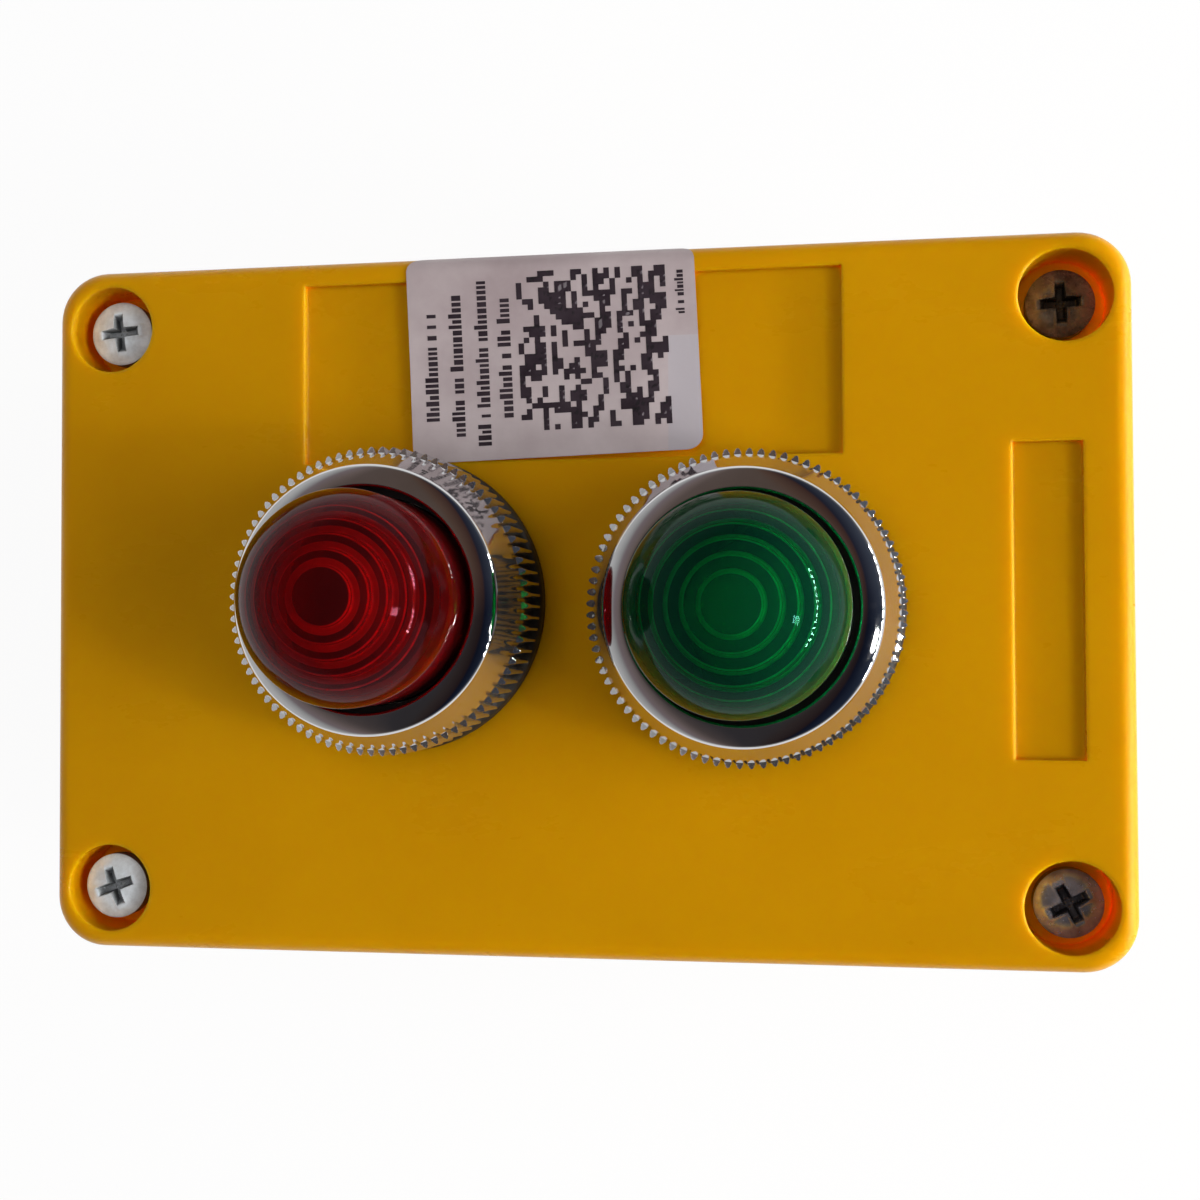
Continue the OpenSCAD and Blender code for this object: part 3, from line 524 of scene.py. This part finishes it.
# The cross recess: reach and half width of its arms, widths of the slants at their ends and sides, and depth
# at the reach and gained towards the middle
CROSS_REACH, CROSS_HALF_W, CROSS_END_W, CROSS_SIDE_W, CROSS_D, CROSS_MORE_D = 1.95, 0.52, 0.5, 0.16, 0.65, 0.65
CROSS_TAPER = 0.05
# How far the driver has pushed up the recess's edge, and the chamfer under the head
PUSHED_UP, HEAD_CHAMFER = 0.07, 0.12
# The shank's pointed end: its length and radius
TIP_L, TIP_R = 0.8, 0.5


def head_height(x, y):
    """Height of the head's top over its seat: a low dome with a cross recess that narrows inwards and whose
    edge the driver has pushed up a little."""
    top = HEAD_H - 0.3 * HEAD_H * (x * x + y * y) / HEAD_R ** 2
    deepest, edge = 0.0, -9.0
    for along, across in ((abs(x), abs(y)), (abs(y), abs(x))):
        inside = min((CROSS_HALF_W - CROSS_TAPER * along - across) / CROSS_SIDE_W,
                     (CROSS_REACH - along) / CROSS_END_W)
        edge = max(edge, inside)
        depth = CROSS_D + CROSS_MORE_D * max(0, 1 - along / CROSS_REACH)
        deepest = max(deepest, min(max(inside, 0), 1) * depth)
    return min(top + PUSHED_UP * math.exp(-2 * (edge + 0.6) ** 2), HEAD_H) - deepest


def screw(x, y, turn, lift, first):
    """Head and shank of one screw, the head as a fine polar grid over its seat."""
    around, rings = 120, 30
    c, s = math.cos(math.radians(turn)), math.sin(math.radians(turn))
    seat = WELL_Z + lift
    verts, faces = [], []

    def put(px, py, z):
        verts.append((x + c * px - s * py, y + s * px + c * py, seat + z))

    put(0, 0, head_height(0, 0))
    for j in range(1, rings + 1):
        for i in range(around):
            a = 2 * math.pi * i / around
            px, py = HEAD_R * j / rings * math.cos(a), HEAD_R * j / rings * math.sin(a)
            put(px, py, head_height(px, py))
    for r, z in ((HEAD_R, HEAD_CHAMFER), (HEAD_R - HEAD_CHAMFER, 0), (SHANK_R, 0), (SHANK_R, TIP_L - SHANK_L),
                 (TIP_R, -SHANK_L)):
        for i in range(around):
            a = 2 * math.pi * i / around
            put(r * math.cos(a), r * math.sin(a), z)
    for i in range(around):
        faces.append((first, first + 1 + i, first + 1 + (i + 1) % around))
    for j in range(rings + 4):
        a = first + 1 + j * around
        for i in range(around):
            k = (i + 1) % around
            faces.append((a + i, a + around + i, a + around + k, a + k))
    faces.append(tuple(first + 1 + (rings + 4) * around + i for i in range(around)))
    return verts, faces


def screws():
    verts, faces, looks = [], [], []
    for x, y, turn, lift, look in SCREWS:
        v, f = screw(x, y, turn, lift, len(verts))
        verts += v
        faces += f
        looks += [look] * len(f)
    obj = mesh_object("cross_head_screws", verts, faces)
    for mat in SCREW_LOOKS:
        obj.data.materials.append(mat)
    obj.data.polygons.foreach_set("material_index", looks)
    finish_mesh(obj, 35)
    stand_in(obj, "cover_screws", "station", *SCREW_LOOKS[1:])


# Label stuck over the long recess and a little way over the cover's upper edge

# Heights of the paper and of its print over the cover, top and foot
LABEL_T = 0.12
PAPER_LEVELS, PRINT_LEVELS = (LABEL_T, 0.02), (LABEL_T + 0.015, LABEL_T - 0.02)
LABEL_TL, LABEL_TR, LABEL_BR, LABEL_BL = (-15.9, 34.0), (12.3, 34.25), (13.2, 14.6), (-15.1, 13.7)
LABEL_CORNERS = (0.055, 0.075)
RECESS_Y, SAG = (13.9, 31.6), 0.2
# A clearer strip down the right-hand side: its left end, top and colour
STRIP_LEFT, STRIP_TOP, STRIP_COLOUR = 9.85, 25.5, (0.40, 0.37, 0.40)
# Rows of plain bars: middle, half height, start and end
TEXT_ROWS = ((0.075, 0.023, 0.20, 0.72), (0.165, 0.023, 0.12, 0.80), (0.255, 0.023, 0.07, 0.87),
             (0.335, 0.023, 0.20, 0.78), (0.945, 0.015, 0.66, 0.86))
# A block of irregular cells: columns, rows, left and right end, foot and top, and the share that is dark
BLOCK_CELLS, BLOCK_BOX, BLOCK_DARK = (27, 29), (0.385, 0.90, 0.13, 0.90), 0.56


def label_point(u, v):
    """Place on the cover's plane, u from left to right and v from the foot up, both 0 to 1."""
    out = []
    for i in (0, 1):
        left = LABEL_BL[i] + (LABEL_TL[i] - LABEL_BL[i]) * v
        right = LABEL_BR[i] + (LABEL_TR[i] - LABEL_BR[i]) * v
        out.append(left + (right - left) * u)
    return out


def label_surface(x, y, lift):
    """A point on the label: it sags a little into the recess and wraps over the cover's edge."""
    flat_end = BOX_W / 2 - EDGE_R
    if y <= flat_end:
        sag = 0
        if RECESS_Y[0] < y < RECESS_Y[1]:
            across = math.sin(math.pi * (y - RECESS_Y[0]) / (RECESS_Y[1] - RECESS_Y[0]))
            sag = SAG * across * (0.8 + 0.2 * math.sin(0.55 * x + 1))
        return x, y, BOX_H - sag + lift
    a = (y - flat_end) / EDGE_R
    return x, flat_end + (EDGE_R + lift) * math.sin(a), BOX_H - EDGE_R + (EDGE_R + lift) * math.cos(a)


def round_corners(u, v):
    """Moves points of a unit grid near its corners onto a rounded outline."""
    reach_u, reach_v = LABEL_CORNERS
    du, dv = min(u, 1 - u) / reach_u, min(v, 1 - v) / reach_v
    if du < 1 and dv < 1:
        reach = math.hypot(1 - du, 1 - dv)
        if reach > 1:
            du, dv = 1 - (1 - du) / reach, 1 - (1 - dv) / reach
            u = du * reach_u if u < 0.5 else 1 - du * reach_u
            v = dv * reach_v if v < 0.5 else 1 - dv * reach_v
    return u, v


def label_patch(us, vs, levels, first=0, rounded=False):
    """Points and faces of a sheet over the given steps of u and v, between two heights over the cover."""
    verts, faces = [], []
    nu, nv = len(us), len(vs)
    for lift in levels:
        for v in vs:
            for u in us:
                x, y = label_point(*(round_corners(u, v) if rounded else (u, v)))
                verts.append(label_surface(x, y, lift))

    def at(i, j, k):
        return first + (k * nv + j) * nu + i

    for j in range(nv - 1):
        for i in range(nu - 1):
            faces.append((at(i, j, 0), at(i + 1, j, 0), at(i + 1, j + 1, 0), at(i, j + 1, 0)))
            faces.append((at(i, j + 1, 1), at(i + 1, j + 1, 1), at(i + 1, j, 1), at(i, j, 1)))
    end_u, end_v = nu - 1, nv - 1
    for i in range(end_u):
        faces.append((at(i, 0, 0), at(i, 0, 1), at(i + 1, 0, 1), at(i + 1, 0, 0)))
        faces.append((at(i + 1, end_v, 0), at(i + 1, end_v, 1), at(i, end_v, 1), at(i, end_v, 0)))
    for j in range(end_v):
        faces.append((at(0, j + 1, 0), at(0, j + 1, 1), at(0, j, 1), at(0, j, 0)))
        faces.append((at(end_u, j, 0), at(end_u, j, 1), at(end_u, j + 1, 1), at(end_u, j + 1, 0)))
    return verts, faces


def print_places():
    """Places of the print, as start and end of u and v."""
    rng = random.Random(4)
    places = []
    for u, half, start, end in TEXT_ROWS:
        v = start
        while v < end:
            length = rng.uniform(0.6, 1.1) * half
            low = rng.choice((-1, -0.4, -0.4))
            places.append((u + low * half, u + half, v, v + length))
            v += length + rng.choice((0.35, 0.35, 0.35, 0.35, 1.5)) * half
    (columns, rows), (left, right, foot, top) = BLOCK_CELLS, BLOCK_BOX
    for i in range(columns):
        j = 0
        while j < rows:
            run = min(rng.choice((1, 1, 2, 3)), rows - j)
            if rng.random() < BLOCK_DARK:
                places.append((left + (right - left) * i / columns, left + (right - left) * (i + 1) / columns,
                               foot + (top - foot) * j / rows, foot + (top - foot) * (j + run) / rows))
            j += run
    return places


def label_paper():
    m = Material("label_paper", (0.42, 0.36, 0.37), Roughness=0.42)
    worn = m.ramp(m.noise(90, 5, 0.6), [(0.28, (0.33, 0.27, 0.28)), (0.68, (0.46, 0.40, 0.41))])
    place = m.add("ShaderNodeSeparateXYZ", Vector=m.object_place())
    strip = m.maths("MULTIPLY", m.maths("GREATER_THAN", place.outputs["X"], STRIP_LEFT * MM),
                    m.maths("LESS_THAN", place.outputs["Y"], STRIP_TOP * MM))
    m.base(m.mix(strip, worn, STRIP_COLOUR))
    creases = m.bump(m.noise(1200, 2, 0.5), 0.00003, 0.3)
    m.bump(m.noise(110, 4, 0.6), 0.0004, 0.3, under=creases)
    return m.mat


def label():
    verts, faces = label_patch(steps(0, 1, 56), steps(0, 1, 44), PAPER_LEVELS, rounded=True)
    paper = mesh_object("paper_label", verts, faces)
    paper.data.materials.append(label_paper())
    verts, faces = [], []
    for u0, u1, v0, v1 in print_places():
        v, f = label_patch(steps(u0, u1, 2), steps(v0, v1, 4), PRINT_LEVELS, len(verts))
        verts += v
        faces += f
    ink = mesh_object("label_print", verts, faces)
    ink.data.materials.append(
        moulded("label_ink", (0.014, 0.008, 0.013), (0.030, 0.020, 0.028), (0.4, 0.55), 400))
    for obj in (paper, ink):
        finish_mesh(obj, 40)
        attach(obj, "station")


# Camera, light and floor

def camera():
    data = bpy.data.cameras.new("camera")
    data.lens, data.sensor_width = CAMERA_LENS, 36
    data.clip_start, data.clip_end = 0.01, 10
    obj = bpy.data.objects.new("camera", data)
    turn_z, turn_x, turn_y = CAMERA_TURNS
    obj.matrix_world = (Matrix.Translation(Vector(CAMERA_AT) * MM) @ Matrix.Rotation(turn_z, 4, "Z")
                        @ Matrix.Rotation(turn_x, 4, "X") @ Matrix.Rotation(turn_y, 4, "Y"))
    bpy.context.scene.collection.objects.link(obj)
    bpy.context.scene.camera = obj


def area(name, elevation, azimuth, distance, size, power, colour=(1, 1, 1), mirrored=True):
    """Area light that faces the cover from this direction, in degrees from +X. It may show in the chrome."""
    data = bpy.data.lights.new(name, "AREA")
    data.shape, data.size, data.size_y = "RECTANGLE", size[0] * MM, size[1] * MM
    data.energy, data.color = power, colour
    obj = bpy.data.objects.new(name, data)
    e, a = math.radians(elevation), math.radians(azimuth)
    offset = Vector((math.cos(e) * math.cos(a), math.cos(e) * math.sin(a), math.sin(e))) * distance * MM
    obj.location = Vector((0, 0, BOX_H * MM)) + offset
    obj.rotation_euler = offset.to_track_quat("Z", "Y").to_euler()
    obj.visible_camera = False
    obj.visible_glossy = mirrored
    bpy.context.scene.collection.objects.link(obj)


def lights():
    warm = (1.0, 0.98, 0.95)
    area("lamp", 27.6, -14, 700, (90, 90), 1.2, warm)
    area("daylight", 30, -10, 700, (560, 420), 3.4, warm, mirrored=False)
    area("low_window", 9, -2, 700, (620, 60), 2.6, (1.0, 0.97, 0.93), mirrored=False)
    # A row of small windows low on the right, which the chrome mirrors
    for i in range(13):
        area(f"window_{i}", 6.5, -2 + 4.6 * (i - 6), 700, (30, 34), 0.32, (1.0, 0.98, 0.96))
    area("soft_overhead", 78, 150, 800, (700, 700), 2.6, mirrored=False)


# Half the floor's size, its level, and how much of its light is its own white where it is seen
FLOOR_HALF, FLOOR_Z, FLOOR_WHITE = 3000, -0.02, 0.94


def floor():
    s, z = FLOOR_HALF, FLOOR_Z
    obj = mesh_object("floor", [(-s, -s, z), (s, -s, z), (s, s, z), (-s, s, z)], [(0, 1, 2, 3)], smooth=False)
    m = Material("floor", grey(0.8), Roughness=0.9)
    white = m.add("ShaderNodeEmission", Strength=1.0)
    seen = m.seen_share(FLOOR_WHITE, ("Is Camera Ray", "Is Glossy Ray", "Is Transmission Ray"))
    m.mix_into("Material Output", seen, m.shader.outputs["BSDF"], white.outputs["Emission"])
    obj.data.materials.append(m.mat)


# The room along the Y axis as it shows in the chrome and the lenses, by the angle from its left wall over
# the ceiling to its right side, 0 to 180 degrees
ROOM = [(0, grey(0.60)), (18, grey(0.52)), (31, grey(0.36)), (40, (0.21, 0.17, 0.18)),
        (54, (0.17, 0.13, 0.12)), (64, (0.12, 0.09, 0.08)), (96, (0.105, 0.075, 0.062)),
        (105, (0.10, 0.06, 0.045)), (123, (0.06, 0.03, 0.025)), (128, (0.018, 0.02, 0.035)),
        (152, (0.05, 0.06, 0.085)), (180, (0.16, 0.16, 0.17))]
# How much of the room's light is left from its near side, -Y, to its far side. The left wall is as light on
# both sides, and between these shares of the angle the near side grows darker.
NEAR = [(0.0, (0.34, 0.42, 0.55)), (0.46, (0.34, 0.42, 0.55)), (0.6, grey(1)), (1.0, grey(1))]
NEAR_DARKER = (0.26, 0.45)
# Light grey round the horizon, and how much of it shows from level with the object to overhead
HORIZON_GREY = (0.22, 0.21, 0.205)
HORIZON = [(0.0, grey(1)), (0.12, grey(0.8)), (0.25, grey(0)), (1.0, grey(0))]


def world():
    made = bpy.data.worlds.new("room")
    bpy.context.scene.world = made
    made.use_nodes = True
    t = Tree(made.node_tree)
    way = t.add("ShaderNodeSeparateXYZ", Vector=t.add("ShaderNodeTexCoord").outputs["Generated"])
    angle = t.maths("ARCTAN2", way.outputs["X"], way.outputs["Z"])
    share = t.map_range(angle, -math.pi / 2, math.pi / 2)
    room = t.ramp(share, [(degrees / 180, colour) for degrees, colour in ROOM])
    near = t.ramp(t.map_range(way.outputs["Y"], -1, 1), NEAR)
    dimmed = t.mix(t.map_range(share, *NEAR_DARKER), room, near, "MULTIPLY")
    back = t.tree.nodes["Background"]
    t.put(t.mix(t.ramp(way.outputs["Z"], HORIZON), dimmed, HORIZON_GREY, "LIGHTEN"), back.inputs["Color"])
    seen = t.add("ShaderNodeBackground", Color=grey(1))
    t.mix_into("World Output", t.seen_share(1.0), back.outputs["Background"], seen.outputs["Background"])


for button, place in BUTTONS.items():
    ring(button, *place)
    lens(button, *place, BANDS[button])
    front_seal(button, *place)
    springs(button, *place)
screws()
label()
camera()
floor()
world()
lights()
bpy.context.scene.view_settings.view_transform = "Standard"
